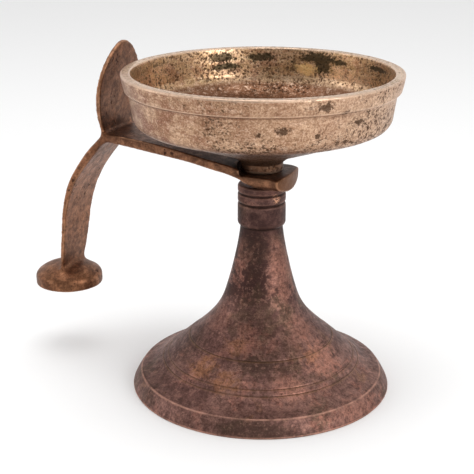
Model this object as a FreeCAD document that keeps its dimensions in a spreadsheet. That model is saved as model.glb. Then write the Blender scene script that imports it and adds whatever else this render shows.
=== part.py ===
# Diya oil lamp: a cast pan screwed down through the eye of a strap handle into a bell-shaped pedestal.
# Millimetres, +Z up, origin on the lamp's axis at the floor, handle along -X.
import FreeCAD
import Part
import Sketcher
import math
import os

V = FreeCAD.Vector

# ---------------------------------------------------------------- driving sizes
# Turned and bent outlines are closed loops of named corners: corner -> (across, height, radius to the
# next corner).  A radius of 0 is a straight edge; a positive one turns left, a negative one right.
PAN_LOOP = {
    "dish_centre": (0, 168.5, 345), "dish_edge": (64, 174.8, 17), "wall_foot": (77.2, 186.5, 0),
    "lip_inner": (79.5, 203.4, -0.9), "lip_top_in": (80.4, 204.3, 0), "lip_top_out": (84.6, 204.3, -1.05),
    "lip_outer": (85.6, 203.2, -60), "band_foot": (83.7, 194.2, 4), "step_in": (80.9, 190.4, 0),
    "wall_low": (78.9, 177.2, -9.5), "bottom_edge": (69.2, 170.4, 0), "cone_inner": (22, 153.5, 22),
    "boss_neck": (13.2, 148.0, 0), "boss_side": (13.2, 144.2, -1.8), "boss_face": (11.4, 142.4, 0),
    "boss_centre": (0, 142.4, 0),
}
PEDESTAL_LOOP = {
    "neck_centre": (0, 133.95, 0), "neck_face": (13.7, 133.95, -1.35), "neck_top": (15, 132.6, 0),
    "ring_a_top": (15, 129.5, 0), "ring_a_root": (14.2, 128.6, 0), "ring_a_low": (15, 127.7, 0),
    "ring_b_top": (15, 123.2, 0), "ring_b_root": (14.2, 122.3, 0), "ring_b_low": (15, 121.4, 0),
    "collar_side": (15.1, 110.5, -3.4), "collar_foot": (13.3, 107.2, 0), "trumpet_top": (13.3, 106.3, 200),
    "trumpet_mid": (17.1, 85, 240), "trumpet_low": (22.6, 64, 45), "bell_top": (32.5, 46, 118),
    "bell_mid": (47.5, 32, 600), "bell_low": (62, 19.2, 40), "shoulder_in": (71.3, 12.7, 0),
    "shoulder_out": (77.5, 10.4, -40), "edge_side": (82.7, 1.4, 0), "edge_low": (83, 0.5, -0.6),
    "floor_out": (82.5, 0, 0), "floor_in": (78.2, 0, 0), "hollow_rim": (74, 6, 0),
    "hollow_bell": (58.8, 15.6, 0), "hollow_mid": (43.6, 28.8, 0), "hollow_throat": (29.2, 42, 0),
    "hollow_low": (18.6, 60, 0), "hollow_high": (12.9, 82, 0), "hollow_roof": (0, 86, 0),
}
ARM_LOOP = {
    "toe_low": (19.8, 134.0, 0), "eye_low": (8, 134.0, -43.5), "arm_low_a": (-7.5, 139.9, 70),
    "arm_low_b": (-23, 143.5, 260), "arm_low_c": (-55, 149.0, 0), "arm_low_d": (-88, 153.2, 0),
    "arm_root_low": (-101, 154.0, 0), "arm_root_high": (-103.6, 159.6, 0), "arm_top_d": (-88, 158.9, -453),
    "arm_top_c": (-55, 155.0, -321), "arm_top_b": (-33, 150.8, 0), "arm_top_a": (-14.7, 147.8, 0),
    "arm_top_eye": (-8, 145.9, 0), "toe_shelf": (6, 142.35, 0), "toe_top": (19.8, 142.35, 0),
}
TAIL_LOOP = {
    "crook_out": (-104.4, 156.6, 0), "tail_out_a": (-111.4, 149.1, 157), "tail_out_b": (-123.9, 131.8, 67.4),
    "tail_out_c": (-131.6, 114.7, 128.6), "tail_out_d": (-136.3, 90, 0), "tail_out_e": (-140.4, 62, 0),
    "tail_foot_out": (-141.6, 54, 0), "tail_foot_in": (-137.6, 54, 0), "tail_in_e": (-137.6, 62, 0),
    "tail_in_d": (-133.4, 90, -90.3), "tail_in_c": (-128.2, 113.8, -68.7), "tail_in_b": (-120.1, 129.5, -185),
    "tail_in_a": (-107.2, 146, -16), "crook_in": (-97, 154.2, 0), "crook_top": (-100.4, 158.0, 0),
}
GUARD_LOOP = {
    "guard_foot_out": (-104.0, 153.5, -900), "guard_top_out": (-96.0, 217.2, 0),
    "guard_top_in": (-93.3, 216.6, 900), "guard_foot_in": (-101.2, 153.0, 0),
}
FOOT_LOOP = {
    "pad_axis_low": (-142, 47.2, 0), "pad_floor": (-120.6, 47.2, 1.1), "pad_side_low": (-119.5, 48.3, 0),
    "pad_side_high": (-119.5, 52, 5), "pad_shoulder": (-122, 56.8, 26), "pad_crown": (-131.4, 61.2, 0),
    "pad_axis_high": (-142, 62.3, 0),
}
STEM_LOOP = {
    "stem_top_centre": (0, 157.4, 0), "stem_top": (5.35, 157.4, 0), "stem_top_side": (5.95, 156.8, 0),
    "stem_tip_side": (5.95, 110.6, 0), "stem_tip": (5.15, 109.8, 0), "stem_tip_centre": (0, 109.8, 0),
}
# Guard outline seen from the pan: height above the floor -> half width.
GUARD_OUTLINE = [(150, 16.8), (157, 17.2), (164, 19.8), (171, 23.2), (179, 25.6), (187, 26.6), (194, 25.4),
                 (200, 22.8), (205, 19.2), (209.5, 14.8), (213.2, 9.6), (215.6, 4.6), (216.4, 0)]
SIZES = {
    "stem_socket_radius": 6.0, "stem_socket_roof": 157.6,
    "thread_hole_radius": 6.0, "thread_hole_floor": 109.2,
    "handle_width": 38, "handle_foot_width": 29, "guard_blank_width": 70,
    "eye_hole_radius": 6.0, "seat_radius": 28.1, "seat_centre": 13.6, "seat_height": 142.35,
    "seat_cut_depth": 12, "taper_start": 125, "taper_end": 50,
    "toe_round": 6, "belly_start": 15.6, "belly_length": 4.2, "belly_half": 19,
    "belly_height": 136.5, "belly_radius": 39.3,
    "line_a_across": 45.8, "line_a_height": 33.75, "line_b_across": 59.6, "line_b_height": 21.45,
    "line_c_across": 62.9, "line_c_height": 18.55, "line_radius": 0.55,
    "thread_pitch": 2.5, "thread_turns": 9, "thread_first": 112.2, "thread_depth": 0.75,
}

doc = FreeCAD.newDocument("diya_oil_lamp")
sheet = doc.addObject("Spreadsheet::Sheet", "Sizes")
row = 0


def put(alias, value):
    global row
    row += 1
    sheet.set("A%d" % row, alias)
    sheet.set("B%d" % row, str(value))
    sheet.setAlias("B%d" % row, alias)


for loop in (PAN_LOOP, PEDESTAL_LOOP, ARM_LOOP, TAIL_LOOP, GUARD_LOOP, FOOT_LOOP, STEM_LOOP):
    for corner, (across, height, radius) in loop.items():
        put(corner + "_across", across)
        put(corner + "_height", height)
        if radius:
            put(corner + "_radius", abs(radius))
for number, (height, half) in enumerate(GUARD_OUTLINE):
    put("leaf_height_%s" % "abcdefghijklm"[number], height)
    put("leaf_half_%s" % "abcdefghijklm"[number], half)
for alias, value in SIZES.items():
    put(alias, value)
doc.recompute()


def size(alias):
    return float(sheet.get(alias))


# ---------------------------------------------------------------- sketch helpers
def make_body(name):
    body = doc.addObject("PartDesign::Body", name)
    body.Label = name
    return body


def origin_plane(body, role):
    return next(f for f in body.Origin.OriginFeatures if f.Role == role)


def new_sketch(body, name, role):
    sketch = body.newObject("Sketcher::SketchObject", name)
    sketch.AttachmentSupport = (origin_plane(body, role), [""])
    sketch.MapMode = "FlatFace"
    return sketch


def pin(sketch, kind, geometry, corner, alias):
    """Hold one coordinate of a corner at its sheet value; a zero coordinate sits on the axis."""
    if size(alias) == 0:
        sketch.addConstraint(Sketcher.Constraint("PointOnObject", geometry, corner,
                                                 -2 if kind == "DistanceX" else -1))
        return
    index = sketch.addConstraint(Sketcher.Constraint(kind, geometry, corner, size(alias)))
    sketch.setExpression("Constraints[%d]" % index, "Sizes." + alias)


def arc_between(start, end, radius):
    """Short arc from start to end; positive radius turns left, negative turns right."""
    chord = end - start
    middle = (start + end) * 0.5
    rise = math.sqrt(max(radius * radius - chord.Length ** 2 / 4, 0))
    side = V(-chord.y, chord.x, 0).normalize() * (rise if radius > 0 else -rise)
    centre = middle + side
    first, last = (start, end) if radius > 0 else (end, start)
    a = math.atan2(first.y - centre.y, first.x - centre.x)
    b = math.atan2(last.y - centre.y, last.x - centre.x)
    if b < a:
        b += 2 * math.pi
    return Part.ArcOfCircle(Part.Circle(centre, V(0, 0, 1), abs(radius)), a, b)


def draw_loop(sketch, loop):
    """Draw a named loop of lines and arcs with every corner and radius bound to the sheet."""
    names = list(loop)
    corners = [V(size(n + "_across"), size(n + "_height"), 0) for n in names]
    ends = []
    for i, name in enumerate(names):
        start, end, radius = corners[i], corners[(i + 1) % len(names)], loop[name][2]
        if radius:
            geometry = sketch.addGeometry(arc_between(start, end, radius), False)
            ends.append((geometry, 1, 2) if radius > 0 else (geometry, 2, 1))
        else:
            geometry = sketch.addGeometry(Part.LineSegment(start, end), False)
            ends.append((geometry, 1, 2))
    for i, name in enumerate(names):
        before, here = ends[i - 1], ends[i]
        sketch.addConstraint(Sketcher.Constraint("Coincident", before[0], before[2], here[0], here[1]))
        pin(sketch, "DistanceX", here[0], here[1], name + "_across")
        pin(sketch, "DistanceY", here[0], here[1], name + "_height")
        if loop[name][2]:
            alias = name + "_radius"
            index = sketch.addConstraint(Sketcher.Constraint("Radius", here[0], size(alias)))
            sketch.setExpression("Constraints[%d]" % index, "Sizes." + alias)
    return sketch


def revolve(body, name, loop):
    sketch = draw_loop(new_sketch(body, name + "_profile", "XZ_Plane"), loop)
    turned = body.newObject("PartDesign::Revolution", name)
    turned.Profile = sketch
    turned.ReferenceAxis = (sketch, ["V_Axis"])
    turned.Angle = 360
    body.Tip = turned
    return turned


def pad_across(body, name, loop, width_alias):
    """Extrude a side view of the handle equally to both sides of the lamp's middle plane."""
    sketch = draw_loop(new_sketch(body, name + "_side_view", "XZ_Plane"), loop)
    pad = body.newObject("PartDesign::Pad", name)
    pad.Profile = sketch
    pad.Midplane = True
    pad.setExpression("Length", "Sizes." + width_alias)
    body.Tip = pad
    return pad


def bore(body, name, radius_alias, low_alias, depth_expression, centre_alias=""):
    """Round hole cut upward from a given height, on the lamp's axis or beside it along +X."""
    sketch = new_sketch(body, name + "_circle", "XY_Plane")
    sketch.setExpression("AttachmentOffset.Base.z", "Sizes." + low_alias)
    across = size(centre_alias) if centre_alias else 0
    sketch.addGeometry(Part.Circle(V(across, 0, 0), V(0, 0, 1), size(radius_alias)), False)
    if centre_alias:
        sketch.addConstraint(Sketcher.Constraint("PointOnObject", 0, 3, -1))
        pin(sketch, "DistanceX", 0, 3, centre_alias)
    else:
        sketch.addConstraint(Sketcher.Constraint("Coincident", 0, 3, -1, 1))
    index = sketch.addConstraint(Sketcher.Constraint("Radius", 0, size(radius_alias)))
    sketch.setExpression("Constraints[%d]" % index, "Sizes." + radius_alias)
    cut = body.newObject("PartDesign::Pocket", name)
    cut.Profile = sketch
    cut.Reversed = True
    cut.setExpression("Length", depth_expression)
    body.Tip = cut
    return cut


# ---------------------------------------------------------------- pan
pan = make_body("pan")
revolve(pan, "pan_casting", PAN_LOOP)
bore(pan, "pan_stem_socket", "stem_socket_radius", "boss_face_height",
     "Sizes.stem_socket_roof - Sizes.boss_face_height")

# ---------------------------------------------------------------- pedestal
pedestal = make_body("pedestal")
revolve(pedestal, "pedestal_casting", PEDESTAL_LOOP)
bore(pedestal, "neck_thread_hole", "thread_hole_radius", "thread_hole_floor",
     "Sizes.neck_face_height - Sizes.thread_hole_floor + 1")
lines = new_sketch(pedestal, "turning_lines_profile", "XZ_Plane")
for letter in "abc":
    across, height = "line_%s_across" % letter, "line_%s_height" % letter
    ring = lines.addGeometry(Part.Circle(V(size(across), size(height), 0), V(0, 0, 1),
                                         size("line_radius")), False)
    pin(lines, "DistanceX", ring, 3, across)
    pin(lines, "DistanceY", ring, 3, height)
    held = lines.addConstraint(Sketcher.Constraint("Radius", ring, size("line_radius")))
    lines.setExpression("Constraints[%d]" % held, "Sizes.line_radius")
incised = pedestal.newObject("PartDesign::Groove", "turning_lines")
incised.Profile = lines
incised.ReferenceAxis = (lines, ["V_Axis"])
incised.Angle = 360
pedestal.Tip = incised

# ---------------------------------------------------------------- handle
handle = make_body("handle")
pad_across(handle, "guard_blank", GUARD_LOOP, "guard_blank_width")
leaf = new_sketch(handle, "guard_outline", "YZ_Plane")
beyond = size("guard_blank_width")
for side in (1, -1):
    edge = [V(side * size("leaf_half_%s" % "abcdefghijklm"[i]), size("leaf_height_%s" % "abcdefghijklm"[i]), 0)
            for i in range(len(GUARD_OUTLINE))]
    curve = Part.BSplineCurve()
    curve.interpolate(edge)
    corners = [edge[-1], edge[-1] + V(0, 6, 0), V(side * beyond, edge[-1].y + 6, 0),
               V(side * beyond, edge[0].y, 0), edge[0]]
    first = leaf.addGeometry(curve, False)
    for i in range(4):
        leaf.addGeometry(Part.LineSegment(corners[i], corners[i + 1]), False)
trimmed = handle.newObject("PartDesign::Pocket", "guard_trim")
trimmed.Profile = leaf
trimmed.Type = "ThroughAll"
trimmed.Midplane = True
handle.Tip = trimmed

pad_across(handle, "arm", ARM_LOOP, "handle_width")
pad_across(handle, "tail", TAIL_LOOP, "handle_width")

taper = new_sketch(handle, "tail_taper_outline", "YZ_Plane")
for side in (1, -1):
    top = V(side * size("handle_width") / 2, size("taper_start"), 0)
    low = V(side * size("handle_foot_width") / 2, size("taper_end"), 0)
    corners = [top, low, V(low.x + side * 12, low.y, 0), V(low.x + side * 12, top.y, 0)]
    first = taper.GeometryCount
    for i in range(4):
        taper.addGeometry(Part.LineSegment(corners[i], corners[(i + 1) % 4]), False)
    for i in range(4):
        taper.addConstraint(Sketcher.Constraint("Coincident", first + i, 2, first + (i + 1) % 4, 1))
        taper.addConstraint(Sketcher.Constraint("DistanceX", first + i, 1, corners[i].x))
        taper.addConstraint(Sketcher.Constraint("DistanceY", first + i, 1, corners[i].y))
tapered = handle.newObject("PartDesign::Pocket", "tail_taper")
tapered.Profile = taper
tapered.Type = "ThroughAll"
tapered.Midplane = True
handle.Tip = tapered

foot = draw_loop(new_sketch(handle, "foot_pad_profile", "XZ_Plane"), FOOT_LOOP)
foot.addGeometry(Part.LineSegment(V(size("pad_axis_low_across"), 40, 0),
                                  V(size("pad_axis_low_across"), 65, 0)), True)
pad_turned = handle.newObject("PartDesign::Revolution", "foot_pad")
pad_turned.Profile = foot
pad_turned.ReferenceAxis = (foot, ["Axis0"])
pad_turned.Angle = 360
handle.Tip = pad_turned

bore(handle, "eye_seat", "seat_radius", "seat_height", "Sizes.seat_cut_depth", "seat_centre")
bore(handle, "eye_hole", "eye_hole_radius", "toe_low_height", "Sizes.seat_cut_depth")

# Beyond the neck the toe's underside bellies down in a shallow arc.
belly = new_sketch(handle, "toe_belly_outline", "YZ_Plane")
belly.setExpression("AttachmentOffset.Base.z", "Sizes.belly_start")
left, right = V(-size("belly_half"), size("belly_height"), 0), V(size("belly_half"), size("belly_height"), 0)
belly.addGeometry(arc_between(left, right, size("belly_radius")), False)
belly.addGeometry(Part.LineSegment(right, left), False)
bellied = handle.newObject("PartDesign::Pad", "toe_belly")
bellied.Profile = belly
bellied.setExpression("Length", "Sizes.belly_length")
handle.Tip = bellied

# Lower corners of the toe are rounded off; the cut runs out where the arm's underside climbs away.
corner_cut = new_sketch(handle, "toe_corner_outline", "YZ_Plane")
half, level, round_off = size("handle_width") / 2, size("toe_low_height"), size("toe_round")
for side in (1, -1):
    inner, outer = V(side * (half - round_off), level, 0), V(side * half, level + round_off, 0)
    corners = [outer, V(side * (half + 2), outer.y, 0), V(side * (half + 2), level - 2, 0),
               V(inner.x, level - 2, 0), inner]
    corner_cut.addGeometry(arc_between(inner, outer, side * round_off), False)
    for i in range(4):
        corner_cut.addGeometry(Part.LineSegment(corners[i], corners[i + 1]), False)
rounded = handle.newObject("PartDesign::Pocket", "toe_corners")
rounded.Profile = corner_cut
rounded.Midplane = True
rounded.Length = 80
handle.Tip = rounded
doc.recompute()

# ---------------------------------------------------------------- screw stem
stem = make_body("screw_stem")
revolve(stem, "stem_rod", STEM_LOOP)
rings = new_sketch(stem, "thread_profile", "XZ_Plane")
outer, root = size("stem_tip_side_across") + 0.3, size("stem_tip_side_across") - size("thread_depth")
for turn in range(int(size("thread_turns"))):
    level = size("thread_first") + turn * size("thread_pitch")
    corners = [V(outer, level - 0.95, 0), V(root, level, 0), V(outer, level + 0.95, 0)]
    first = rings.GeometryCount
    for i in range(3):
        rings.addGeometry(Part.LineSegment(corners[i], corners[(i + 1) % 3]), False)
    for i in range(3):
        rings.addConstraint(Sketcher.Constraint("Coincident", first + i, 2, first + (i + 1) % 3, 1))
        rings.addConstraint(Sketcher.Constraint("DistanceX", first + i, 1, corners[i].x))
        rings.addConstraint(Sketcher.Constraint("DistanceY", first + i, 1, corners[i].y))
thread = stem.newObject("PartDesign::Groove", "thread_rings")
thread.Profile = rings
thread.ReferenceAxis = (rings, ["V_Axis"])
thread.Angle = 360
stem.Tip = thread
doc.recompute()

# ---------------------------------------------------------------- checks and export
bad = [o.Name for o in doc.Objects if "Invalid" in o.State or "Error" in o.State]
if bad:
    raise RuntimeError("features in error: %s" % ", ".join(bad))
os.makedirs("parts", exist_ok=True)
for body in (pedestal, stem, handle, pan):
    shape = body.Shape
    if shape.isNull() or not shape.isValid() or len(shape.Solids) != 1:
        raise RuntimeError("bad shape: %s" % body.Label)
    box = shape.optimalBoundingBox()
    print("%-11s vol %9.1f  x %.2f..%.2f  y %.2f..%.2f  z %.2f..%.2f" % (
        body.Label, shape.Volume, box.XMin, box.XMax, box.YMin, box.YMax, box.ZMin, box.ZMax))
    Part.export([body], "parts/%s.step" % body.Label)
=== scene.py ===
"""Diya oil lamp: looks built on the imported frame. Metres, +Z up, handle along -X."""
import bmesh
import bpy
import math
import numpy as np
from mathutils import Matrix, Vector, noise


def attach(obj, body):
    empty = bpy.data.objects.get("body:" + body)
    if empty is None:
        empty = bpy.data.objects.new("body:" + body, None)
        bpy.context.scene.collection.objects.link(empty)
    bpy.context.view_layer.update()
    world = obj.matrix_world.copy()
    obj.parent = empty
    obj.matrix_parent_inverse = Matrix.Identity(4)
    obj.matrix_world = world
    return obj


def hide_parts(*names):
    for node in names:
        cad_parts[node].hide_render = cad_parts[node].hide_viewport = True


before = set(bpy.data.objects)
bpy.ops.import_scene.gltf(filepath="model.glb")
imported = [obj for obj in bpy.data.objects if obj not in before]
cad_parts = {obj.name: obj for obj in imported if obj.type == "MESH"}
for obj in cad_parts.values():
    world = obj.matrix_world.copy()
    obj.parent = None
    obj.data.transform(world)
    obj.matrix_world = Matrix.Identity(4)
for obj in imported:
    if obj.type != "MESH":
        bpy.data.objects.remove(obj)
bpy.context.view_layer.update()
MM = 0.001

# Turned meshes: outline sampling in millimetres
STEP = 0.05
EDGE_SIGMA = 0.32
COARSE, FINE = 1.5, 0.2
SEGMENTS = 384
# Cast handle: voxel size in metres, rounds of smoothing for all of it and for its inner corners
VOXEL = 0.00062
EDGE_ROUNDS, CORNER_ROUNDS = 9, 46
# Incised lines on the foot: (across, height, depth, half width), millimetres
FOOT_LINES = ((45.8, 33.45, 0.30, 0.32), (59.6, 21.3, 0.30, 0.32), (62.9, 18.4, 0.30, 0.32))
# Studio
FLOOR_HALF, FLOOR_WHITE = 4.0, 0.96
WORLD_BRIGHT, WORLD_DIM = 0.95, 0.25
AIM = (0, 0, 0.11)
CAMERA_AT, CAMERA_TURN, CAMERA_TILT = (0.2580, -0.6473, 0.3371), 23, 18.92
LENS, SENSOR = 88.7, 36

# ---------------------------------------------------------------- turned pieces
# Corner: (across, height, radius to the next corner), millimetres; 0 is straight, + turns left, - right.
PAN = [
    (0, 168.5, 345), (64, 174.8, 17), (77.2, 186.5, 0), (79.5, 203.4, -0.9), (80.4, 204.3, 0),
    (84.6, 204.3, -1.05), (85.6, 203.2, -60), (83.7, 194.2, 4), (80.9, 190.4, 0), (78.9, 177.2, -9.5),
    (69.2, 170.4, 0), (22, 153.5, 22), (13.2, 148.0, 0), (13.2, 144.2, -1.8), (11.4, 142.4, 0),
    (6, 142.4, 0), (6, 157.6, 0), (0, 157.6, 0),
]
PEDESTAL = [
    (0, 109.2, 0), (6, 109.2, 0), (6, 133.95, 0), (13.7, 133.95, -1.35), (15, 132.6, 0),
    (15, 129.7, 0), (14.05, 128.6, 0), (15, 127.6, 0), (15, 123.5, 0), (13.9, 122.3, 0), (15, 121.2, 0),
    (15.1, 110.5, -3.4), (13.3, 107.2, 0), (13.3, 106.3, 200), (17.1, 85, 240), (22.6, 64, 45),
    (32.5, 46, 118), (47.5, 32, 600), (62, 19.2, 40), (71.3, 12.7, 0), (77.5, 10.4, -40),
    (82.7, 1.4, 0), (83, 0.5, -0.6), (82.5, 0, 0), (78.2, 0, 0), (74, 6, 0), (58.8, 15.6, 0),
    (43.6, 28.8, 0), (29.2, 42, 0), (18.6, 60, 0), (12.9, 82, 0), (0, 86, 0),
]


def arc_points(start, end, radius, step):
    """Points from start (included) to end (left out) along a line or a short arc."""
    start, end = np.array(start, float), np.array(end, float)
    chord = end - start
    length = math.hypot(*chord)
    if not radius:
        n = max(1, int(math.ceil(length / step)))
        return start + chord * (np.arange(n) / n)[:, None]
    rise = math.sqrt(max(radius * radius - length * length / 4, 0))
    side = np.array([-chord[1], chord[0]]) / length * (rise if radius > 0 else -rise)
    centre = (start + end) / 2 + side
    a = math.atan2(start[1] - centre[1], start[0] - centre[0])
    b = math.atan2(end[1] - centre[1], end[0] - centre[0])
    if radius > 0 and b < a:
        b += 2 * math.pi
    if radius < 0 and b > a:
        b -= 2 * math.pi
    n = max(2, int(math.ceil(abs(b - a) * abs(radius) / step)))
    t = a + (b - a) * np.arange(n) / n
    return centre + abs(radius) * np.stack([np.cos(t), np.sin(t)], 1)


def soften(points, sigma, step):
    """Rounds every corner of an evenly sampled outline by about sigma, ends held."""
    reach = int(4 * sigma / step)
    kernel = np.exp(-0.5 * (np.arange(-reach, reach + 1) * step / sigma) ** 2)
    kernel /= kernel.sum()
    padded = np.vstack([np.repeat(points[:1], reach, 0), points, np.repeat(points[-1:], reach, 0)])
    smooth = np.stack([np.convolve(padded[:, k], kernel, "valid") for k in (0, 1)], 1)
    smooth[0], smooth[-1] = points[0], points[-1]
    return smooth


def outline(loop, grooves=()):
    """Outline resampled finely where it bends; returns points, arc length and how convex each point is."""
    step = STEP
    raw = np.vstack([arc_points(loop[i][:2], loop[i + 1][:2], loop[i][2], step) for i in range(len(loop) - 1)]
                    + [np.array([loop[-1][:2]], float)])
    along = np.concatenate([[0], np.cumsum(np.hypot(*np.diff(raw, axis=0).T))])
    even = np.arange(0, along[-1], step)
    pts = np.stack([np.interp(even, along, raw[:, k]) for k in (0, 1)], 1)
    pts = soften(pts, EDGE_SIGMA, step)
    pts[0, 0] = pts[-1, 0] = 0.0
    tangent = np.gradient(pts, axis=0)
    tangent /= np.hypot(*tangent.T)[:, None]
    normal = np.stack([tangent[:, 1], -tangent[:, 0]], 1)  # into the metal
    for across, height, depth, half in grooves:
        i = int(np.argmin(np.hypot(pts[:, 0] - across, pts[:, 1] - height)))
        pts = pts + normal * (depth * np.exp(-0.5 * ((even - even[i]) / half) ** 2))[:, None]
    heading = np.unwrap(np.arctan2(tangent[:, 1], tangent[:, 0]))
    bend = -np.gradient(heading) / step
    wide = int(0.8 / step)
    box = np.ones(wide) / wide
    spacing = np.clip(0.13 / (np.convolve(np.abs(bend), box, "same") + 1e-6), FINE, COARSE)
    for across, height, _, half in grooves:
        i = int(np.argmin(np.hypot(pts[:, 0] - across, pts[:, 1] - height)))
        spacing = np.where(np.abs(even - even[i]) < 4 * half, np.minimum(spacing, half / 2), spacing)
    soft = int(1.2 / step)
    spacing = np.exp(np.convolve(np.log(np.pad(spacing, soft // 2, "edge")), np.ones(soft) / soft, "same"))
    spacing = spacing[soft // 2: soft // 2 + len(even)]
    count = np.concatenate([[0], np.cumsum(step / spacing)])[:-1]
    n = int(count[-1])
    at = np.interp(np.linspace(0, count[-1], n), count, even)
    out = np.stack([np.interp(at, even, pts[:, k]) for k in (0, 1)], 1)
    out[0, 0] = out[-1, 0] = 0.0
    one_mm = int(1.0 / step)
    worn = np.interp(at, even, np.convolve(bend, np.ones(one_mm) / one_mm, "same"))
    return out, at, worn


def lathe(name, loop, waver, seed, grooves=()):
    """Turned mesh about the lamp's axis with ring coordinates and an edge-wear value on its vertices."""
    segments = SEGMENTS
    pts, along, worn = outline(loop, grooves)
    inner = pts[1:-1]
    rings = len(inner)
    theta = np.linspace(0, 2 * np.pi, segments, endpoint=False) + math.pi / 2
    cos, sin = np.cos(theta), np.sin(theta)
    xyz = np.empty((rings, segments, 3))
    xyz[..., 0] = inner[:, :1] * cos
    xyz[..., 1] = inner[:, :1] * sin
    xyz[..., 2] = inner[:, 1:2]
    verts = np.vstack([xyz.reshape(-1, 3), [[0, 0, pts[0, 1]], [0, 0, pts[-1, 1]]]]) * MM
    first, last = rings * segments, rings * segments + 1
    ring = np.arange(rings - 1)[:, None] * segments
    a = ring + np.arange(segments)
    b = ring + (np.arange(segments) + 1) % segments
    quads = np.stack([a, b, b + segments, a + segments], -1).reshape(-1, 4)
    low = [(first, (i + 1) % segments, i) for i in range(segments)]
    top = (rings - 1) * segments
    high = [(last, top + i, top + (i + 1) % segments) for i in range(segments)]
    mesh = bpy.data.meshes.new(name)
    mesh.from_pydata(verts.tolist(), [], quads.tolist() + low + high)
    mesh.update()
    bm = bmesh.new()
    bm.from_mesh(mesh)
    bmesh.ops.recalc_face_normals(bm, faces=bm.faces)
    bm.to_mesh(mesh)
    bm.free()
    mesh.shade_smooth()
    count = len(mesh.vertices)
    ringed = np.zeros((count, 3), np.float32)
    ringed[:first, 0] = np.tile(cos, rings)
    ringed[:first, 1] = np.tile(sin, rings)
    ringed[:first, 2] = np.repeat(along[1:-1], segments) * MM
    ringed[last, 2] = along[-1] * MM
    edge = np.zeros(count, np.float32)
    edge[:first] = np.repeat(worn[1:-1], segments)
    obj = bpy.data.objects.new(name, mesh)
    bpy.context.collection.objects.link(obj)
    keep_vector(mesh, "ring", ringed)
    keep_value(mesh, "bend", edge)
    co = np.array([v.co[:] for v in mesh.vertices])
    normals = np.array([v.normal[:] for v in mesh.vertices])
    lift = np.array([noise.noise(Vector((p[0] * 38 + seed, p[1] * 38, p[2] * 38)))
                     + 0.4 * noise.noise(Vector((p[0] * 120, p[1] * 120 + seed, p[2] * 120)))
                     for p in co])
    radius = np.hypot(co[:, 0], co[:, 1])
    lift *= np.clip((radius - 0.0065) / 0.004, 0, 1)  # the stem's bore stays true
    co += normals * (lift * waver * MM)[:, None]
    co[:, 2] = np.maximum(co[:, 2], 0.0)
    mesh.vertices.foreach_set("co", co.ravel())
    mesh.update()
    return obj


def keep_vector(mesh, name, values):
    layer = mesh.attributes.new(name, "FLOAT_VECTOR", "POINT")
    layer.data.foreach_set("vector", np.ascontiguousarray(values, np.float32).ravel())


def keep_value(mesh, name, values):
    layer = mesh.attributes.new(name, "FLOAT", "POINT")
    layer.data.foreach_set("value", np.ascontiguousarray(values, np.float32))


def vertex_places(mesh):
    co = np.empty(len(mesh.vertices) * 3)
    mesh.vertices.foreach_get("co", co)
    return co.reshape(-1, 3)


def neighbours(mesh):
    """Edge ends, edges per vertex, and a function that averages values over each vertex's neighbours."""
    n = len(mesh.vertices)
    pairs = np.empty(len(mesh.edges) * 2, int)
    mesh.edges.foreach_get("vertices", pairs)
    a, b = pairs.reshape(-1, 2).T
    degree = np.maximum(np.bincount(a, minlength=n) + np.bincount(b, minlength=n), 1)

    def around(values):
        if values.ndim == 2:
            return np.stack([around(column) for column in values.T], 1)
        return (np.bincount(a, values[b], n) + np.bincount(b, values[a], n)) / degree

    return a, b, degree, around


def mean_bend(mesh, rounds):
    """How convex each vertex is (1/mm), smoothed over its neighbours."""
    n = len(mesh.vertices)
    co = vertex_places(mesh) / MM
    normals = np.array([v.normal[:] for v in mesh.vertices])
    a, b, degree, around = neighbours(mesh)
    offset = around(co) - co
    length = np.linalg.norm(co[a] - co[b], axis=1)
    span = np.bincount(a, length, n) / degree + np.bincount(b, length, n) / degree
    value = -np.einsum("ij,ij->i", offset, normals) / np.maximum(span, 1e-6) ** 2 * 2
    for _ in range(rounds):
        value = 0.5 * value + 0.5 * around(value)
    return value


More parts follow.
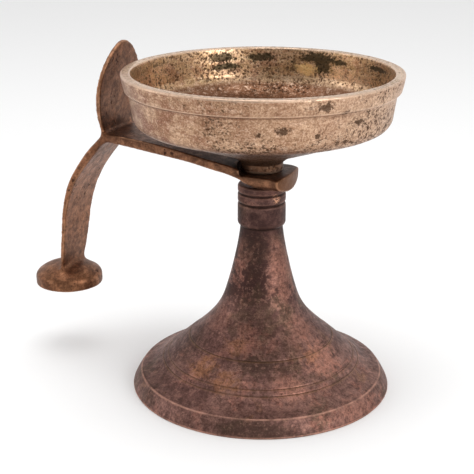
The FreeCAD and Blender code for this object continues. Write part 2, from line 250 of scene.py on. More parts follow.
# ---------------------------------------------------------------- cast handle
def cast_handle():
    """The CAD handle with the soft edges and blended corners of a filed casting."""
    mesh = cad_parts["handle"].data.copy()
    mesh.name = "handle_cast"
    mesh.materials.clear()
    obj = bpy.data.objects.new("handle_cast", mesh)
    bpy.context.collection.objects.link(obj)
    bm = bmesh.new()
    bm.from_mesh(mesh)
    bmesh.ops.remove_doubles(bm, verts=bm.verts, dist=1e-6)
    bmesh.ops.recalc_face_normals(bm, faces=bm.faces)
    bm.to_mesh(mesh)
    bm.free()
    for name in [x.name for x in mesh.attributes if not x.is_internal and not x.is_required]:
        mesh.attributes.remove(mesh.attributes[name])
    remesh = obj.modifiers.new("skin", "REMESH")
    remesh.mode = "VOXEL"
    remesh.voxel_size = VOXEL
    remesh.adaptivity = 0.0
    apply_modifiers(obj)
    mesh = obj.data
    co = vertex_places(mesh)
    around = neighbours(mesh)[3]

    # The two inner corners, at the crook and at the pad, are filled more than the rest is rounded.
    crook = np.exp(-((co[:, 0] + 0.103) ** 2 + (co[:, 2] - 0.154) ** 2) / 0.0085 ** 2)
    pad = np.exp(-((co[:, 0] + 0.139) ** 2 + (co[:, 2] - 0.060) ** 2) / 0.0080 ** 2)
    pad = np.where(np.hypot(co[:, 0] + 0.142, co[:, 1]) < 0.0205, pad, 0)
    bore = np.clip((np.hypot(co[:, 0], co[:, 1]) - 0.0068) / 0.003, 0, 1)
    extra = np.clip(np.maximum(crook, pad) * 1.6, 0, 1)[:, None]
    for turn in range(CORNER_ROUNDS):
        share = extra if turn >= EDGE_ROUNDS else np.ones_like(extra)
        moved = co + 0.5 * (around(co) - co)
        co = co + (moved - co) * share * bore[:, None]
        if turn < EDGE_ROUNDS and turn % 3:
            # part of each round is given back, so flat areas and outlines don't shrink
            moved = co - 0.52 * (around(co) - co)
            co = co + (moved - co) * (1 - extra) * bore[:, None] * 0.9
    # The guard's rear edge runs out a little wider just above the arm.
    wide = np.exp(-((co[:, 2] - 0.162) / 0.0085) ** 2) * np.clip((co[:, 1] - 0.011) / 0.006, 0, 1)
    co[:, 1] = co[:, 1] + 0.0036 * wide * (co[:, 0] < -0.088)
    # The toe's end face bulges a little and its top edge dips towards the seat.
    end = np.clip((co[:, 0] - 0.0105) / 0.0093, 0, 1)
    side = np.abs(co[:, 1]) / 0.019
    co[:, 0] = co[:, 0] - 0.0026 * end * side ** 2
    top = np.clip((co[:, 2] - 0.1385) / 0.0038, 0, 1) * end ** 2
    co[:, 2] = co[:, 2] - 0.0016 * top * side ** 3
    mesh.vertices.foreach_set("co", co.ravel())
    mesh.update()
    normals = np.array([v.normal[:] for v in mesh.vertices])
    lift = np.array([noise.noise(Vector(p * 70)) + 0.35 * noise.noise(Vector(p * 210)) for p in co])
    seat = (np.hypot(co[:, 0], co[:, 1]) < 0.0215) & (co[:, 2] > 0.139)
    lift = np.where(seat, 0.2, 1.0) * lift * bore
    co = co + normals * (lift * 0.16 * MM)[:, None]
    mesh.vertices.foreach_set("co", co.ravel())
    mesh.shade_smooth()
    mesh.update()
    keep_value(mesh, "bend", mean_bend(mesh, 4))
    return obj


def apply_modifiers(obj):
    graph = bpy.context.evaluated_depsgraph_get()
    mesh = bpy.data.meshes.new_from_object(obj.evaluated_get(graph))
    old = obj.data
    obj.modifiers.clear()
    obj.data = mesh
    bpy.data.meshes.remove(old)


# ---------------------------------------------------------------- material kit
class Nodes:
    """Short hand for building one node tree."""

    def __init__(self, name):
        self.mat = bpy.data.materials.new(name)
        self.mat.use_nodes = True
        self.tree = self.mat.node_tree
        self.tree.nodes.clear()
        self.out = self.tree.nodes.new("ShaderNodeOutputMaterial")
        self.coord = self.tree.nodes.new("ShaderNodeTexCoord").outputs["Object"]

    def link(self, source, socket):
        if isinstance(source, (int, float)):
            socket.default_value = source
        elif isinstance(source, tuple):
            socket.default_value = source
        else:
            self.tree.links.new(source, socket)

    def math(self, kind, a, b=0.0, clamp=False):
        node = self.tree.nodes.new("ShaderNodeMath")
        node.operation = kind
        node.use_clamp = clamp
        self.link(a, node.inputs[0])
        self.link(b, node.inputs[1])
        return node.outputs[0]

    def mul(self, *items):
        total = items[0]
        for item in items[1:]:
            total = self.math("MULTIPLY", total, item)
        return total

    def add(self, a, b, clamp=False):
        return self.math("ADD", a, b, clamp)

    def sub(self, a, b, clamp=False):
        return self.math("SUBTRACT", a, b, clamp)

    def noise(self, vector, scale, detail=3.0, rough=0.55, twist=0.0, shift=0.0):
        node = self.tree.nodes.new("ShaderNodeTexNoise")
        node.noise_dimensions = "4D" if shift else "3D"
        if shift:
            node.inputs["W"].default_value = shift
        self.link(vector, node.inputs["Vector"])
        node.inputs["Scale"].default_value = scale
        node.inputs["Detail"].default_value = detail
        node.inputs["Roughness"].default_value = rough
        node.inputs["Distortion"].default_value = twist
        return node.outputs["Fac"]

    def cells(self, vector, scale):
        node = self.tree.nodes.new("ShaderNodeTexVoronoi")
        self.link(vector, node.inputs["Vector"])
        node.inputs["Scale"].default_value = scale
        return node.outputs["Distance"], node.outputs["Color"]

    def step(self, value, low, high, to_low=0.0, to_high=1.0, kind="SMOOTHSTEP"):
        node = self.tree.nodes.new("ShaderNodeMapRange")
        node.interpolation_type = kind
        self.link(value, node.inputs["Value"])
        node.inputs["From Min"].default_value = low
        node.inputs["From Max"].default_value = high
        node.inputs["To Min"].default_value = to_low
        node.inputs["To Max"].default_value = to_high
        return node.outputs["Result"]

    def mix(self, factor, a, b):
        node = self.tree.nodes.new("ShaderNodeMix")
        node.data_type = "RGBA"
        self.link(factor, node.inputs["Factor"])
        self.link(a, node.inputs["A"])
        self.link(b, node.inputs["B"])
        return node.outputs["Result"]

    def move(self, vector, scale):
        node = self.tree.nodes.new("ShaderNodeMapping")
        self.link(vector, node.inputs["Vector"])
        node.inputs["Scale"].default_value = scale
        return node.outputs["Vector"]

    def attribute(self, name, which):
        node = self.tree.nodes.new("ShaderNodeAttribute")
        node.attribute_name = name
        return node.outputs[which]

    def split(self, vector):
        node = self.tree.nodes.new("ShaderNodeSeparateXYZ")
        self.link(vector, node.inputs[0])
        return node.outputs

    def near(self, value, centre, half):
        """1 at centre, 0 beyond half either side."""
        gap = self.math("ABSOLUTE", self.sub(value, centre))
        return self.step(gap, 0.0, half, 1.0, 0.0)

    def surface(self, colour, rough, height, strength, metallic):
        shader = self.tree.nodes.new("ShaderNodeBsdfPrincipled")
        self.link(colour, shader.inputs["Base Color"])
        self.link(rough, shader.inputs["Roughness"])
        self.link(metallic, shader.inputs["Metallic"])
        bump = self.tree.nodes.new("ShaderNodeBump")
        bump.inputs["Strength"].default_value = strength
        bump.inputs["Distance"].default_value = MM
        self.link(height, bump.inputs["Height"])
        self.tree.links.new(bump.outputs["Normal"], shader.inputs["Normal"])
        self.tree.links.new(shader.outputs["BSDF"], self.out.inputs["Surface"])
        return self.mat


def rgb(red, green, blue):
    """sRGB bytes to linear colour."""
    def one(v):
        v /= 255
        return v / 12.92 if v <= 0.04045 else ((v + 0.055) / 1.055) ** 2.4
    return (one(red), one(green), one(blue), 1.0)


def spots(n, vector, scale, size, mask, soft=0.12):
    """Scattered irregular spots: cell centres that pass a mask, with ragged outlines."""
    ragged = n.tree.nodes.new("ShaderNodeVectorMath")
    ragged.operation = "MULTIPLY_ADD"
    wobble = n.tree.nodes.new("ShaderNodeTexNoise")
    wobble.inputs["Scale"].default_value = scale * 2.2
    wobble.inputs["Detail"].default_value = 3
    n.link(vector, wobble.inputs["Vector"])
    n.link(wobble.outputs["Color"], ragged.inputs[0])
    ragged.inputs[1].default_value = (0.9 / scale,) * 3
    n.link(vector, ragged.inputs[2])
    distance, colour = n.cells(ragged.outputs[0], scale)
    pick = n.split(colour)[0]
    radius = n.mul(n.step(pick, 0.0, 1.0, 0.25, 1.0, "LINEAR"), mask, size)
    return n.step(n.sub(radius, distance), 0.0, soft)


def blob(n, xyz, centre, size, ragged, edge=0.25):
    """1 inside a ragged lump of the given half sizes, 0 outside."""
    total = None
    for value, middle, half in zip(xyz, centre, size):
        gap = n.math("DIVIDE", n.sub(value, middle), half)
        part = n.mul(gap, gap)
        total = part if total is None else n.add(total, part)
    return n.step(n.add(n.math("SQRT", total), ragged), 1.0 - edge, 1.0 + edge, 1.0, 0.0)


def most(n, masks):
    total = masks[0]
    for mask in masks[1:]:
        total = n.math("MAXIMUM", total, mask)
    return total


def scratch(n, x, y, at, turn, half, thick):
    """One slightly bowed scratch seen from above: centre, direction, half length and thickness."""
    dx, dy = n.sub(x, at[0]), n.sub(y, at[1])
    along = n.add(n.mul(dx, math.cos(turn)), n.mul(dy, math.sin(turn)))
    across = n.sub(n.mul(dy, math.cos(turn)), n.mul(dx, math.sin(turn)))
    across = n.add(across, n.mul(n.mul(along, along), 4.0 * math.sin(turn * 7)))
    return n.mul(n.near(across, 0.0, thick * 2.6), n.near(along, 0.0, half))


# ---------------------------------------------------------------- the three bronzes and the stem's brass
def pan_bronze():
    n = Nodes("pan_bronze_aged")
    p = n.coord
    p_xyz = x, y, z = n.split(p)
    ring = n.attribute("ring", "Vector")
    bend = n.attribute("bend", "Fac")
    away = n.math("SQRT", n.add(n.mul(x, x), n.mul(y, y)))
    along = n.split(ring)[2]
    lines = n.noise(n.move(ring, (0.9, 0.9, 620)), 1.0, 3.0, 0.6)
    # streak pattern for painted reflections on the inside wall and the floor's fillet
    painted_streaks = n.noise(n.move(ring, (1.3, 1.3, 150)), 1.0, 3.0, 0.6, 0, 8.1)
    fine_lines = n.noise(n.move(ring, (2.2, 2.2, 2300)), 1.0, 2.0, 0.6, 0, 3.1)
    cloud = n.noise(p, 30, 5, 0.62, 0.6)
    patch = n.noise(p, 85, 6, 0.68, 0.5, 2.4)
    mottle = n.noise(n.move(p, (1, 1, 1.5)), 230, 6, 0.74, 0.4, 6.3)
    grain = n.noise(p, 900, 4, 0.75)
    speck = n.noise(p, 430, 5, 0.74, 0.2, 5.2)
    ragged = n.mul(n.sub(n.noise(p, 330, 5, 0.72, 0.5, 9.4), 0.5), 3.0)

    inner_side = n.step(along, 0.1035, 0.1065, 1.0, 0.0)
    floor_part = n.mul(n.step(away, 0.0765, 0.0735), inner_side)
    inside = n.sub(inner_side, floor_part, True)
    outside = n.sub(1.0, inner_side)
    # masks for painted shade on the pan's underside and its boss
    underside_shade = n.mul(n.step(z, 0.1700, 0.1750, 1.0, 0.0), outside)
    boss_shade = n.mul(n.step(z, 0.1560, 0.1520), outside)

    tan = n.mix(n.step(cloud, 0.38, 0.62), rgb(198, 162, 132), rgb(166, 130, 102))
    tan = n.mix(n.mul(n.step(patch, 0.46, 0.58), n.step(x, 0.05, -0.05, 0.25, 0.7)), tan, rgb(142, 98, 74))
    rust = n.step(n.noise(n.move(p, (1, 1, 1.6)), 60, 5, 0.7, 0.6, 14.2), 0.50, 0.58)
    rust = n.mul(rust, n.step(x, 0.02, -0.05, 0.25, 0.85))
    tan = n.mix(n.mul(rust, outside), tan, rgb(136, 88, 66))
    # painted light: the outer wall is lightened towards +X, the key light's side
    tan = n.mix(n.step(x, 0.035, 0.080, 0.0, 0.55), tan, rgb(216, 182, 154))
    gold = n.mix(n.step(cloud, 0.40, 0.60), rgb(236, 198, 160), rgb(212, 174, 130))
    # painted reflections: olive and pale streaks following the turning on the inside wall
    gold = n.mix(n.mul(n.step(painted_streaks, 0.50, 0.62), 0.5), gold, rgb(156, 132, 82))
    gold = n.mix(n.mul(n.step(painted_streaks, 0.42, 0.32), 0.5), gold, rgb(244, 216, 168))
    gold = n.mix(n.mul(n.step(patch, 0.50, 0.62), 0.55), gold, rgb(170, 116, 88))
    brown = n.mix(n.step(cloud, 0.4, 0.62), rgb(128, 88, 64), rgb(98, 66, 46))
    colour = n.mix(inside, tan, gold)
    colour = n.mix(floor_part, colour, brown)
    # painted shade: the underside is darkened, most on its inner cone, and the boss too
    colour = n.mix(n.mul(underside_shade, 0.7), colour, rgb(128, 88, 66))
    belly_shade = n.mul(n.step(away, 0.0695, 0.0680), n.step(z, 0.1725, 0.1700), outside)
    colour = n.mix(n.mul(belly_shade, 0.85), colour, rgb(84, 57, 42))
    colour = n.mix(n.mul(boss_shade, 0.5), colour, rgb(94, 66, 48))
    colour = n.mix(n.mul(n.step(mottle, 0.50, 0.61), 0.45), colour, rgb(126, 88, 64))
    paler = n.mul(n.step(mottle, 0.47, 0.38), n.sub(0.38, n.mul(belly_shade, 0.3)))
    colour = n.mix(paler, colour, rgb(236, 204, 178))
    colour = n.mix(n.mul(n.step(grain, 0.49, 0.58), 0.50), colour, rgb(112, 78, 58))
    paler = n.mul(n.step(grain, 0.46, 0.38), n.sub(0.30, n.mul(belly_shade, 0.22)))
    colour = n.mix(paler, colour, rgb(240, 212, 188))
    colour = n.mix(n.mul(n.step(lines, 0.5, 0.72), 0.25), colour, rgb(120, 84, 62))
    colour = n.mix(n.mul(n.step(fine_lines, 0.55, 0.75), 0.18), colour, rgb(236, 206, 178))

    # dark pits, thickest at the front, low down and right of the middle
    crowd = n.noise(p, 24, 3, 0.5, 0.4, 7.7)
    bias = n.mul(n.step(x, -0.06, 0.06), n.step(z, 0.170, 0.198, 0.13, 0.05))
    bias = n.add(bias, n.mul(n.step(z, 0.184, 0.172), 0.05))
    bias = n.add(bias, n.mul(inside, 0.09))
    crowd = n.add(crowd, n.mul(bias, n.sub(1.0, floor_part)))
    small = spots(n, p, 520, 0.66, n.step(crowd, 0.42, 0.66), 0.2)
    large = spots(n, n.move(p, (1, 1, 1.25)), 260, 0.40, n.step(crowd, 0.50, 0.72), 0.16)
    dust = n.mul(n.step(speck, 0.54, 0.61), n.step(crowd, 0.42, 0.60, 0.25, 1.0), 0.9)
    flecks = n.step(n.noise(n.move(p, (1, 1, 1.5)), 235, 5, 0.74, 0.3, 2.9), 0.565, 0.595)
    flecks = n.mul(flecks, n.step(crowd, 0.50, 0.62), n.sub(1.0, inside))
    clots = most(n, [blob(n, p_xyz, at, (half, half, half * 0.7), n.mul(ragged, 1.8), 0.3) for at, half in (
        ((0.0614, -0.0590, 0.1985), 0.0034), ((0.0690, -0.0480, 0.1945), 0.0022),
        ((0.0725, -0.0350, 0.1875), 0.0026), ((0.0400, -0.0710, 0.1860), 0.0034),
        ((0.0290, -0.0765, 0.1840), 0.0022), ((0.0560, -0.0580, 0.1820), 0.0018))])
    dark = most(n, [n.mul(small, 0.85), large, dust, flecks, n.mul(clots, 0.95)])
    colour = n.mix(n.mul(dark, 0.86), colour, rgb(70, 48, 34))

    # tarnish left on the inside wall, and a painted glint on its back
    lumps = most(n, [blob(n, p_xyz, at, size, ragged, 0.22) for at, size in (
        ((0.0090, 0.0785, 0.1985), (0.0120, 0.0300, 0.0042)),
        ((0.0120, 0.0785, 0.1950), (0.0060, 0.0300, 0.0056)),
        ((-0.0530, 0.0600, 0.1985), (0.0090, 0.0110, 0.0030)),
        ((-0.0500, 0.0600, 0.1925), (0.0080, 0.0110, 0.0022)),
        ((-0.0300, 0.0730, 0.1980), (0.0080, 0.0200, 0.0026)),
        ((0.0230, 0.0765, 0.1978), (0.0080, 0.0200, 0.0018)),
        ((0.0560, 0.0560, 0.1990), (0.0120, 0.0110, 0.0016)))])
    blot = n.mul(n.step(n.noise(n.move(p, (1, 1, 2.2)), 75, 5, 0.70, 0.7, 1.3), 0.605, 0.64), 0.7)
    blot = n.mul(n.math("MAXIMUM", lumps, blot), inside)
    colour = n.mix(n.mul(blot, 0.90), colour, rgb(58, 50, 34))
    # painted highlight: a bright golden glint on the back of the inside wall
    painted_glint = blob(n, p_xyz, (0.0000, 0.0790, 0.1915), (0.0065, 0.0300, 0.0036), ragged, 0.3)
    painted_glint = n.mul(painted_glint, inside)
    colour = n.mix(n.mul(painted_glint, 0.75), colour, rgb(246, 206, 142))

    # scratches on the dish floor, and a painted highlight along the fillet at the floor's edge
    scratches_and_highlight = most(n, [n.mul(scratch(n, x, y, at, turn, half, thick), much) for at, turn, half, thick, much in (
        ((0.0060, 0.0420), 0.55, 0.0200, 0.00035, 1.0), ((0.0120, 0.0360), 2.35, 0.0150, 0.00032, 1.0),
        ((0.0000, 0.0330), 1.05, 0.0130, 0.00030, 0.9), ((0.0250, 0.0450), 0.15, 0.0200, 0.00030, 0.8),
        ((-0.0120, 0.0390), 2.75, 0.0170, 0.00030, 0.8), ((0.0180, 0.0480), 1.75, 0.0090, 0.00030, 0.9),
        ((0.0050, 0.0500), 2.95, 0.0230, 0.00030, 0.7), ((-0.0300, 0.0440), 0.35, 0.0140, 0.00028, 0.6),
        ((0.0380, 0.0360), 2.55, 0.0130, 0.00028, 0.6), ((0.0100, 0.0080), 0.75, 0.0180, 0.00030, 0.8),
        ((-0.0200, -0.0120), 2.10, 0.0200, 0.00030, 0.7), ((0.0200, -0.0240), 0.20, 0.0170, 0.00030, 0.7))])
    # painted highlight: a bright streaky ring on the fillet where the floor meets the wall
    painted_fillet_highlight = n.mul(n.step(painted_streaks, 0.57, 0.68), n.near(away, 0.0755, 0.0036), 0.55)
    scratches_and_highlight = n.mul(n.math("MAXIMUM", scratches_and_highlight, painted_fillet_highlight), n.step(away, 0.0785, 0.0765), inner_side)
    colour = n.mix(n.mul(scratches_and_highlight, 0.95), colour, rgb(255, 226, 188))

    # worn rim and step; the rim's top band is lighter, partly rubbed metal and partly painted highlight
    worn = n.mul(n.step(bend, 0.12, 0.7), n.step(patch, 0.30, 0.55, 0.55, 1.0))
    colour = n.mix(n.mul(worn, 0.6), colour, rgb(226, 194, 168))
    # rim's top band: rubbed metal and painted highlight
    rim_wear_and_highlight = n.near(z, 0.2045, 0.0014)
    colour = n.mix(n.mul(rim_wear_and_highlight, n.step(speck, 0.35, 0.6, 0.75, 0.15)), colour, rgb(214, 190, 170))
    crease = n.mul(n.step(bend, -0.25, -0.9), 0.55)
    colour = n.mix(crease, colour, rgb(92, 64, 48))

    rough = n.add(n.add(0.42, n.mul(dark, 0.25)), n.mul(n.sub(mottle, 0.5), 0.35))
    rough = n.add(rough, n.mul(n.sub(lines, 0.5), 0.10))
    rough = n.sub(rough, n.add(n.mul(inside, 0.10), n.mul(worn, 0.06)), True)
    height = n.add(n.mul(lines, 0.05), n.mul(fine_lines, 0.025))
    height = n.add(height, n.add(n.mul(grain, 0.05), n.mul(mottle, 0.05)))
    height = n.sub(height, n.mul(dark, 0.12))
    height = n.sub(height, n.mul(scratches_and_highlight, 0.05))
    return n.surface(colour, rough, height, 1.0, 0.95)


def pedestal_bronze():
    n = Nodes("pedestal_bronze_aged")
    p = n.coord
    x, y, z = n.split(p)
    ring = n.attribute("ring", "Vector")
    bend = n.attribute("bend", "Fac")
    away = n.math("SQRT", n.add(n.mul(x, x), n.mul(y, y)))
    lines = n.noise(n.move(ring, (0.9, 0.9, 560)), 1.0, 4.0, 0.65)
    bands = n.noise(n.move(ring, (1.0, 1.0, 110)), 1.0, 4.0, 0.6, 0, 2.2)
    fine_lines = n.noise(n.move(ring, (2.4, 2.4, 2100)), 1.0, 2.0, 0.6, 0, 3.3)
    cloud = n.noise(p, 26, 5, 0.62, 0.7)
    patch = n.noise(p, 62, 6, 0.7, 0.6, 3.4)
    mottle = n.noise(p, 190, 6, 0.76, 0.3, 5.9)
    bits = n.noise(p, 420, 5, 0.76, 0.2, 1.1)
    grain = n.noise(p, 950, 4, 0.75)
    ragged = n.mul(n.sub(n.noise(p, 150, 6, 0.72, 0.5, 9.4), 0.5), 4.2)
    lower = n.step(z, 0.045, 0.012)

    colour = n.mix(n.step(cloud, 0.40, 0.62), rgb(112, 80, 74), rgb(142, 106, 96))
    colour = n.mix(n.mul(n.step(bands, 0.46, 0.60), 0.45), colour, rgb(94, 66, 60))
    # painted shade: the trumpet and neck are darkened all round, a little more on the -X side
    trumpet_painted_shade = n.mul(n.step(z, 0.052, 0.070), n.step(z, 0.1085, 0.1065), n.step(x, 0.020, -0.004, 0.84, 0.92))
    colour = n.mix(trumpet_painted_shade, colour, rgb(58, 38, 36))
    colour = n.mix(n.step(z, 0.0150, 0.0110, 0.0, 0.35), colour, rgb(134, 100, 90))
    olive = n.mul(n.step(n.noise(p, 34, 5, 0.66, 0.6, 6.6), 0.51, 0.63), 0.6)
    colour = n.mix(olive, colour, rgb(92, 76, 58))
    pink = n.mul(n.step(patch, 0.52, 0.60), n.step(cloud, 0.38, 0.56), 0.7)
    colour = n.mix(pink, colour, rgb(164, 112, 97))
    golden = n.mul(n.step(n.noise(p, 55, 6, 0.7, 0.6, 9.1), 0.56, 0.66), n.add(0.15, n.mul(lower, 0.35)))
    colour = n.mix(golden, colour, rgb(150, 108, 76))
    copper = most(n, [n.mul(blob(n, (x, y, z), at, size, ragged, 0.45), much) for at, size, much in (
        ((0.0470, -0.0160, 0.0300), (0.011, 0.013, 0.010), 0.9),
        ((0.0380, -0.0460, 0.0210), (0.011, 0.009, 0.007), 0.55),
        ((0.0165, -0.0060, 0.0820), (0.008, 0.011, 0.024), 0.5),
        ((0.0330, -0.0120, 0.0450), (0.009, 0.010, 0.008), 0.45),
        ((0.0760, -0.0300, 0.0060), (0.016, 0.016, 0.006), 0.5),
        ((-0.0200, -0.0220, 0.0480), (0.010, 0.010, 0.009), 0.3))])
    colour = n.mix(n.mul(copper, n.step(mottle, 0.38, 0.55, 0.35, 1.0)), colour, rgb(196, 138, 118))
    amber = most(n, [n.mul(blob(n, (x, y, z), at, size, ragged, 0.45), much) for at, size, much in (
        ((-0.0180, -0.0510, 0.0270), (0.008, 0.008, 0.007), 0.6),
        ((0.0000, -0.0580, 0.0230), (0.008, 0.007, 0.006), 0.55),
        ((0.0440, -0.0220, 0.0350), (0.006, 0.007, 0.006), 0.5),
        ((-0.0010, -0.0400, 0.0400), (0.007, 0.006, 0.005), 0.45))])
    colour = n.mix(n.mul(amber, n.step(mottle, 0.38, 0.55, 0.3, 1.0)), colour, rgb(186, 128, 88))
    shade = most(n, [n.mul(blob(n, (x, y, z), at, size, ragged, 0.5), much) for at, size, much in (
        ((0.0190, -0.0480, 0.0330), (0.014, 0.010, 0.007), 0.7),
        ((0.0300, -0.0770, 0.0050), (0.024, 0.014, 0.006), 0.6),
        ((0.0000, -0.0200, 0.0960), (0.012, 0.012, 0.012), 0.6),
        ((-0.0500, -0.0620, 0.0070), (0.010, 0.010, 0.005), 0.6),
        ((-0.0360, -0.0310, 0.0330), (0.012, 0.012, 0.008), 0.45))])
    colour = n.mix(shade, colour, rgb(70, 56, 46))
    colour = n.mix(n.mul(n.step(mottle, 0.49, 0.59), 0.46), colour, rgb(76, 52, 46))
    colour = n.mix(n.mul(n.step(mottle, 0.47, 0.38), 0.36), colour, rgb(178, 130, 114))
    colour = n.mix(n.mul(n.step(bits, 0.50, 0.60), 0.50), colour, rgb(68, 48, 44))
    colour = n.mix(n.mul(n.step(bits, 0.46, 0.37), 0.32), colour, rgb(190, 144, 126))
    colour = n.mix(n.mul(n.step(grain, 0.50, 0.58), 0.35), colour, rgb(74, 52, 48))
    colour = n.mix(n.mul(n.step(lines, 0.52, 0.72), 0.35), colour, rgb(70, 48, 42))
    colour = n.mix(n.mul(n.step(fine_lines, 0.56, 0.74), 0.16), colour, rgb(170, 124, 106))
    pits = spots(n, p, 330, 0.6, n.step(patch, 0.42, 0.66), 0.2)
    colour = n.mix(n.mul(pits, 0.6), colour, rgb(54, 38, 34))

    # painted shade beneath the collar, broken up by the turned bands, and a copper chip beside the first
    # groove
    neck_painted_shade = n.mul(n.step(z, 0.082, 0.108), n.step(bands, 0.35, 0.6, 0.40, 0.75))
    colour = n.mix(neck_painted_shade, colour, rgb(58, 40, 38))
    chip = blob(n, (x, y, z), (0.0128, -0.0075, 0.1262), (0.0030, 0.0030, 0.0026), ragged, 0.5)
    chip = n.mul(chip, n.step(n.noise(p, 1300, 2, 0.6), 0.50, 0.56))
    colour = n.mix(n.mul(chip, 0.85), colour, rgb(232, 176, 140))

    # incised lines keep a faint golden tint, shoulder and lower edges are rubbed bright
    crease = n.step(bend, -0.12, -0.6)
    colour = n.mix(n.mul(crease, 0.75), colour, rgb(48, 34, 28))
    low_part = n.step(z, 0.036, 0.034)
    for at, much in ((0.0458, 0.55), (0.0596, 0.35), (0.0629, 0.45)):
        tint = n.mul(n.near(away, at + 0.0004, 0.0011), low_part, n.step(bits, 0.38, 0.6, 0.15, 0.8), much)
        colour = n.mix(tint, colour, rgb(146, 110, 76))
        cut = n.mul(n.near(away, at, 0.0005), low_part, much)
        colour = n.mix(cut, colour, rgb(54, 38, 32))
    shoulder = n.step(z, 0.060, 0.030)
    worn = n.mul(n.step(bend, 0.10, 0.45), n.step(n.add(patch, n.mul(bits, 0.4)), 0.55, 0.8, 0.2, 1.0),
                 n.add(0.10, n.mul(shoulder, 0.38)))
    colour = n.mix(worn, colour, rgb(214, 164, 142))

    rough = n.add(n.add(0.56, n.mul(n.sub(mottle, 0.5), 0.6)), n.mul(n.sub(lines, 0.5), 0.16))
    rough = n.sub(rough, n.add(n.mul(copper, 0.10), n.mul(worn, 0.12)), True)
    height = n.add(n.add(n.mul(lines, 0.075), n.mul(bands, 0.05)), n.mul(fine_lines, 0.03))
    height = n.add(height, n.add(n.mul(grain, 0.05), n.mul(bits, 0.10)))
    height = n.sub(height, n.mul(pits, 0.10))
    return n.surface(colour, rough, height, 1.0, 0.93)


def handle_bronze():
    n = Nodes("handle_bronze_aged")
    p = n.coord
    x, y, z = n.split(p)
    bend = n.attribute("bend", "Fac")
    cloud = n.noise(p, 34, 5, 0.62, 0.6)
    patch = n.noise(p, 95, 6, 0.7, 0.5, 3.4)
    mottle = n.noise(p, 210, 6, 0.74, 0.3, 5.9)
    bits = n.noise(p, 430, 5, 0.75, 0.2, 1.1)
    grain = n.noise(p, 1000, 4, 0.72)
    file_marks = n.noise(n.move(p, (160, 1500, 160)), 1.0, 2.0, 0.6)

    colour = n.mix(n.step(cloud, 0.40, 0.62), rgb(124, 82, 59), rgb(146, 100, 72))
    colour = n.mix(n.mul(n.step(patch, 0.48, 0.60), 0.6), colour, rgb(98, 66, 46))
    strap = n.mul(n.step(x, -0.106, -0.116), n.step(z, 0.062, 0.090))
    colour = n.mix(n.mul(strap, 0.45), colour, rgb(158, 108, 80))
    arm = n.mul(n.step(x, -0.101, -0.094), n.step(z, 0.168, 0.160))
    colour = n.mix(n.mul(arm, 0.35), colour, rgb(120, 88, 70))
    # painted shade on the top of the eye, around where the pan's boss sits
    seat_painted_shade = n.step(n.math("SQRT", n.add(n.mul(x, x), n.mul(y, y))), 0.026, 0.0205)
    colour = n.mix(n.mul(seat_painted_shade, n.step(z, 0.1405, 0.1425), 0.75), colour, rgb(66, 46, 34))
    colour = n.mix(n.mul(n.step(mottle, 0.49, 0.58), 0.58), colour, rgb(78, 52, 38))
    colour = n.mix(n.mul(n.step(mottle, 0.47, 0.40), 0.46), colour, rgb(178, 128, 96))
    colour = n.mix(n.mul(n.step(bits, 0.50, 0.60), 0.45), colour, rgb(76, 52, 40))
    colour = n.mix(n.mul(n.step(grain, 0.50, 0.58), 0.30), colour, rgb(78, 54, 42))
    colour = n.mix(n.mul(n.step(x, 0.0150, 0.0175), 0.8), colour, rgb(104, 66, 38))
    crook = n.mul(n.near(z, 0.1420, 0.0035), n.step(bits, 0.54, 0.60), n.step(x, -0.060, -0.110))
    colour = n.mix(crook, colour, rgb(60, 42, 34))
    crowd = n.noise(p, 40, 3, 0.5, 0.3, 7.7)
    pits = most(n, [spots(n, p, 430, 0.62, n.step(crowd, 0.44, 0.66), 0.2),
                    spots(n, p, 190, 0.48, n.step(crowd, 0.54, 0.72), 0.15)])
    colour = n.mix(n.mul(pits, 0.75), colour, rgb(60, 40, 32))
    root = n.mul(n.near(z, 0.166, 0.018), n.step(x, -0.112, -0.100), n.step(patch, 0.46, 0.58))
    colour = n.mix(n.mul(root, 0.25), colour, rgb(62, 42, 34))
    crease = n.step(bend, -0.05, -0.35)
    colour = n.mix(n.mul(crease, 0.55), colour, rgb(80, 56, 42))
    worn = n.mul(n.step(bend, 0.14, 0.42), n.step(n.add(patch, n.mul(bits, 0.5)), 0.60, 0.85, 0.25, 1.0))
    colour = n.mix(n.mul(worn, 0.5), colour, rgb(196, 148, 116))

    rough = n.add(n.add(0.48, n.mul(n.sub(mottle, 0.5), 0.4)), n.mul(pits, 0.2))
    rough = n.sub(rough, n.mul(worn, 0.12), True)
    height = n.add(n.mul(patch, 0.10), n.mul(bits, 0.10))
    height = n.add(height, n.add(n.mul(grain, 0.06), n.mul(file_marks, 0.025)))
    height = n.sub(height, n.mul(pits, 0.14))
    return n.surface(colour, rough, height, 1.0, 0.95)


def stem_brass():
    n = Nodes("stem_brass_worn")
    p = n.coord
    x, y = n.split(p)[:2]
    cloud = n.noise(p, 120, 4, 0.6, 0.4)
    turned = n.noise(n.move(p, (60, 60, 2600)), 1.0, 2.0, 0.6)
    grime = n.step(n.noise(p, 260, 4, 0.65), 0.48, 0.68)
    away = n.math("SQRT", n.add(n.mul(x, x), n.mul(y, y)))
    root = n.step(away, 0.00585, 0.0052)
    colour = n.mix(n.step(cloud, 0.38, 0.62), rgb(206, 168, 104), rgb(182, 140, 84))
    colour = n.mix(n.mul(grime, 0.5), colour, rgb(104, 78, 50))
    colour = n.mix(n.mul(root, 0.8), colour, rgb(74, 56, 38))
    rough = n.add(n.add(0.30, n.mul(grime, 0.2)), n.mul(root, 0.2), True)
    height = n.add(n.mul(turned, 0.04), n.mul(cloud, 0.03))
    return n.surface(colour, rough, height, 0.8, 0.95)


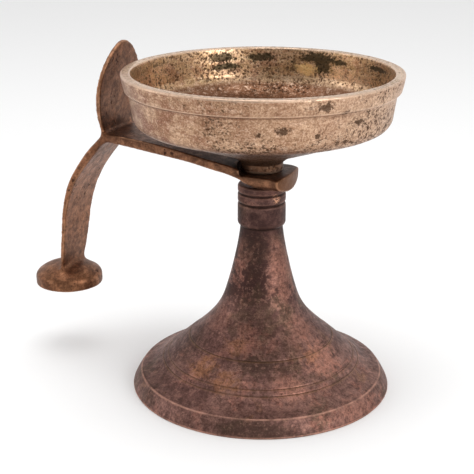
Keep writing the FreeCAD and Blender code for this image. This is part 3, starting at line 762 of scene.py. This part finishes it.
# ---------------------------------------------------------------- pieces
pan = lathe("pan_turned", PAN, waver=0.10, seed=3.0)
pedestal = lathe("pedestal_turned", PEDESTAL, waver=0.14, seed=11.0, grooves=FOOT_LINES)
handle = cast_handle()

for piece, body, node, slot, material in (
        (pan, "bowl", "pan", "pan_bronze", pan_bronze()),
        (pedestal, "stand", "pedestal", "pedestal_bronze", pedestal_bronze()),
        (handle, "grip", "handle", "handle_bronze", handle_bronze())):
    piece.data.materials.clear()
    piece.data.materials.append(material)
    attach(piece, body)
    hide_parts(node)

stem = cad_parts["screw_stem"]
stem.data.materials.clear()
stem.data.materials.append(stem_brass())


# ---------------------------------------------------------------- studio
def flat_floor():
    mesh = bpy.data.meshes.new("floor")
    half = FLOOR_HALF
    corners = [(-half, -half, 0), (half, -half, 0), (half, half, 0), (-half, half, 0)]
    mesh.from_pydata(corners, [], [(0, 1, 2, 3)])
    floor = bpy.data.objects.new("floor", mesh)
    bpy.context.collection.objects.link(floor)
    paper = bpy.data.materials.new("floor_paper")
    paper.use_nodes = True
    shader = paper.node_tree.nodes["Principled BSDF"]
    shader.inputs["Base Color"].default_value = (FLOOR_WHITE, FLOOR_WHITE, FLOOR_WHITE, 1)
    shader.inputs["Roughness"].default_value = 0.9
    shader.inputs["Specular IOR Level"].default_value = 0.1
    mesh.materials.append(paper)


def softbox(name, place, width, height, power):
    """Rectangular light aimed at the middle of the lamp."""
    data = bpy.data.lights.new(name, "AREA")
    data.shape = "RECTANGLE"
    data.size, data.size_y = width, height
    data.energy = power
    light = bpy.data.objects.new(name, data)
    bpy.context.collection.objects.link(light)
    light.location = place
    light.rotation_euler = (Vector(AIM) - Vector(place)).to_track_quat("-Z", "Y").to_euler()


def studio_world():
    """White surround, darker on the side that the lamp's front faces, above the floor."""
    world = bpy.data.worlds.new("studio")
    bpy.context.scene.world = world
    world.use_nodes = True
    tree = world.node_tree
    direction = tree.nodes.new("ShaderNodeTexCoord")
    toward = tree.nodes.new("ShaderNodeVectorMath")
    toward.operation = "DOT_PRODUCT"
    tree.links.new(direction.outputs["Generated"], toward.inputs[0])
    toward.inputs[1].default_value = Vector((0.36, -0.87, 0.34)).normalized()
    falloff = tree.nodes.new("ShaderNodeMapRange")
    falloff.interpolation_type = "SMOOTHSTEP"
    tree.links.new(toward.outputs["Value"], falloff.inputs["Value"])
    falloff.inputs["From Min"].default_value = 0.30
    falloff.inputs["From Max"].default_value = 0.97
    falloff.inputs["To Min"].default_value = WORLD_BRIGHT
    falloff.inputs["To Max"].default_value = WORLD_DIM
    tree.links.new(falloff.outputs["Result"], tree.nodes["Background"].inputs["Strength"])
    tree.nodes["Background"].inputs["Color"].default_value = (1.0, 1.0, 1.0, 1)


flat_floor()
studio_world()
bpy.context.scene.view_settings.view_transform = "Standard"
softbox("key", (1.2, -0.65, 0.55), 0.8, 0.9, 9)
softbox("fill", (-1.2, -0.5, 0.5), 0.6, 0.8, 2)
softbox("top", (0.0, -0.1, 1.5), 1.0, 1.0, 7)

camera_data = bpy.data.cameras.new("camera")
camera_data.lens = LENS
camera_data.sensor_width = SENSOR
camera = bpy.data.objects.new("camera", camera_data)
bpy.context.collection.objects.link(camera)
camera.location = CAMERA_AT
turn, tilt = math.radians(CAMERA_TURN), math.radians(CAMERA_TILT)
look = Vector((-math.sin(turn) * math.cos(tilt), math.cos(turn) * math.cos(tilt), -math.sin(tilt)))
camera.rotation_euler = look.to_track_quat("-Z", "Y").to_euler()
bpy.context.scene.camera = camera
